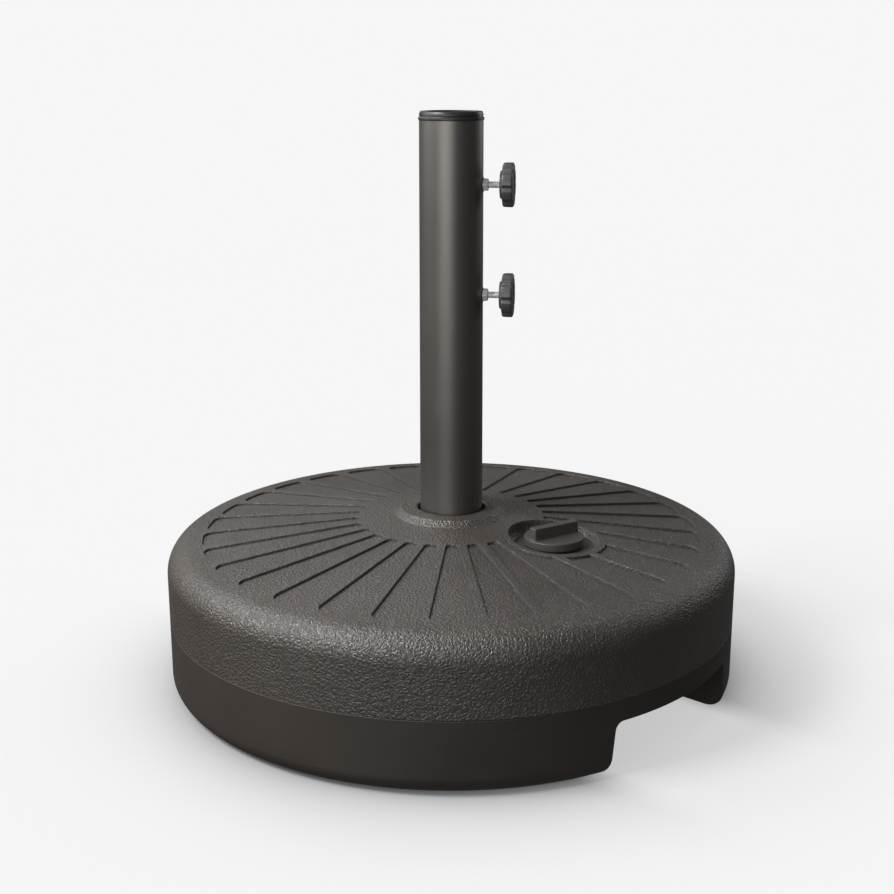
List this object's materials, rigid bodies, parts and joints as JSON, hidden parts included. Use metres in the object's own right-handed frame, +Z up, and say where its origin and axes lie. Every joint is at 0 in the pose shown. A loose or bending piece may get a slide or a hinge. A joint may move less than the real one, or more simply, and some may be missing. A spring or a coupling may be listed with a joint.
{
  "type": "fillable parasol base",
  "caption": "Round fillable plastic parasol base with a steel pole tube, clamp knobs, a screw filler cap and hand-grip pockets.",
  "frame": {"origin": "centre of the tank's foot on the floor, on the tube's axis", "axes": "+Z up along the tube, +X out through one of the two hand-grip pockets"},
  "size_m": [0.5, 0.5, 0.498],
  "materials": {
    "tank_grained": "leather-grained",
    "tank_smooth": "smooth satin",
    "cap_plastic": "smooth moulded",
    "tube_coating": "satin powder coat",
    "black_plastic": "smooth moulded",
    "knob_plastic": "fine moulded grain",
    "zinc_steel": "bright zinc plating",
    "plain_steel": "bare steel",
    "seal_rubber": "matt rubber",
    "nylon": "natural nylon"
  },
  "bodies": {
    "base": {"tank_upper_shell": "tank_grained", "tank_lower_shell": "tank_smooth", "pole_centring_ring": "black_plastic", "pole_tube": "tube_coating", "tube_end_plate": "plain_steel", "end_plate_nut": "zinc_steel", "anchor_bolt": "zinc_steel", "anchor_washer": "zinc_steel", "anchor_spring_washer": "zinc_steel", "tube_top_bush": "black_plastic", "upper_weld_nut": "zinc_steel", "lower_weld_nut": "zinc_steel"},
    "upper_pad": {"upper_pressure_pad": "nylon"},
    "upper_knob": {"upper_clamp_screw": "zinc_steel", "upper_clamp_knob": "knob_plastic", "upper_knob_cover": "knob_plastic"},
    "lower_pad": {"lower_pressure_pad": "nylon"},
    "lower_knob": {"lower_clamp_screw": "zinc_steel", "lower_clamp_knob": "knob_plastic", "lower_knob_cover": "knob_plastic"},
    "cap_seal": {"filler_cap_seal": "seal_rubber"},
    "cap": {"filler_cap": "cap_plastic"}
  },
  "joints": [
    {"name": "upper_screw_advance", "type": "slide", "parent": "base", "child": "upper_pad", "axis": [-0.829, -0.5592, 0], "range_m": [-0.0041, 0.0101]},
    {"name": "upper_knob_turn", "type": "hinge", "parent": "upper_pad", "child": "upper_knob", "pos_m": [0, 0, 0.436], "axis": [-0.829, -0.5592, 0], "range_deg": [-1440, 3600]},
    {"name": "lower_screw_advance", "type": "slide", "parent": "base", "child": "lower_pad", "axis": [-0.829, -0.5592, 0], "range_m": [-0.0041, 0.0101]},
    {"name": "lower_knob_turn", "type": "hinge", "parent": "lower_pad", "child": "lower_knob", "pos_m": [0, 0, 0.341], "axis": [-0.829, -0.5592, 0], "range_deg": [-1440, 3600]},
    {"name": "cap_lift", "type": "slide", "parent": "base", "child": "cap_seal", "axis": [0, 0, 1], "range_m": [0, 0.0121]},
    {"name": "cap_turn", "type": "hinge", "parent": "cap_seal", "child": "cap", "pos_m": [0.10124, 0.0184, 0.132], "axis": [0, 0, 1], "range_deg": [0, 1080]}
  ],
  "couplings": [
    {"joint": "upper_screw_advance", "follows": "upper_knob_turn", "m_per_rad": 0.00015915},
    {"joint": "lower_screw_advance", "follows": "lower_knob_turn", "m_per_rad": 0.00015915},
    {"joint": "cap_lift", "follows": "cap_turn", "m_per_rad": 0.00063662}
  ]
}
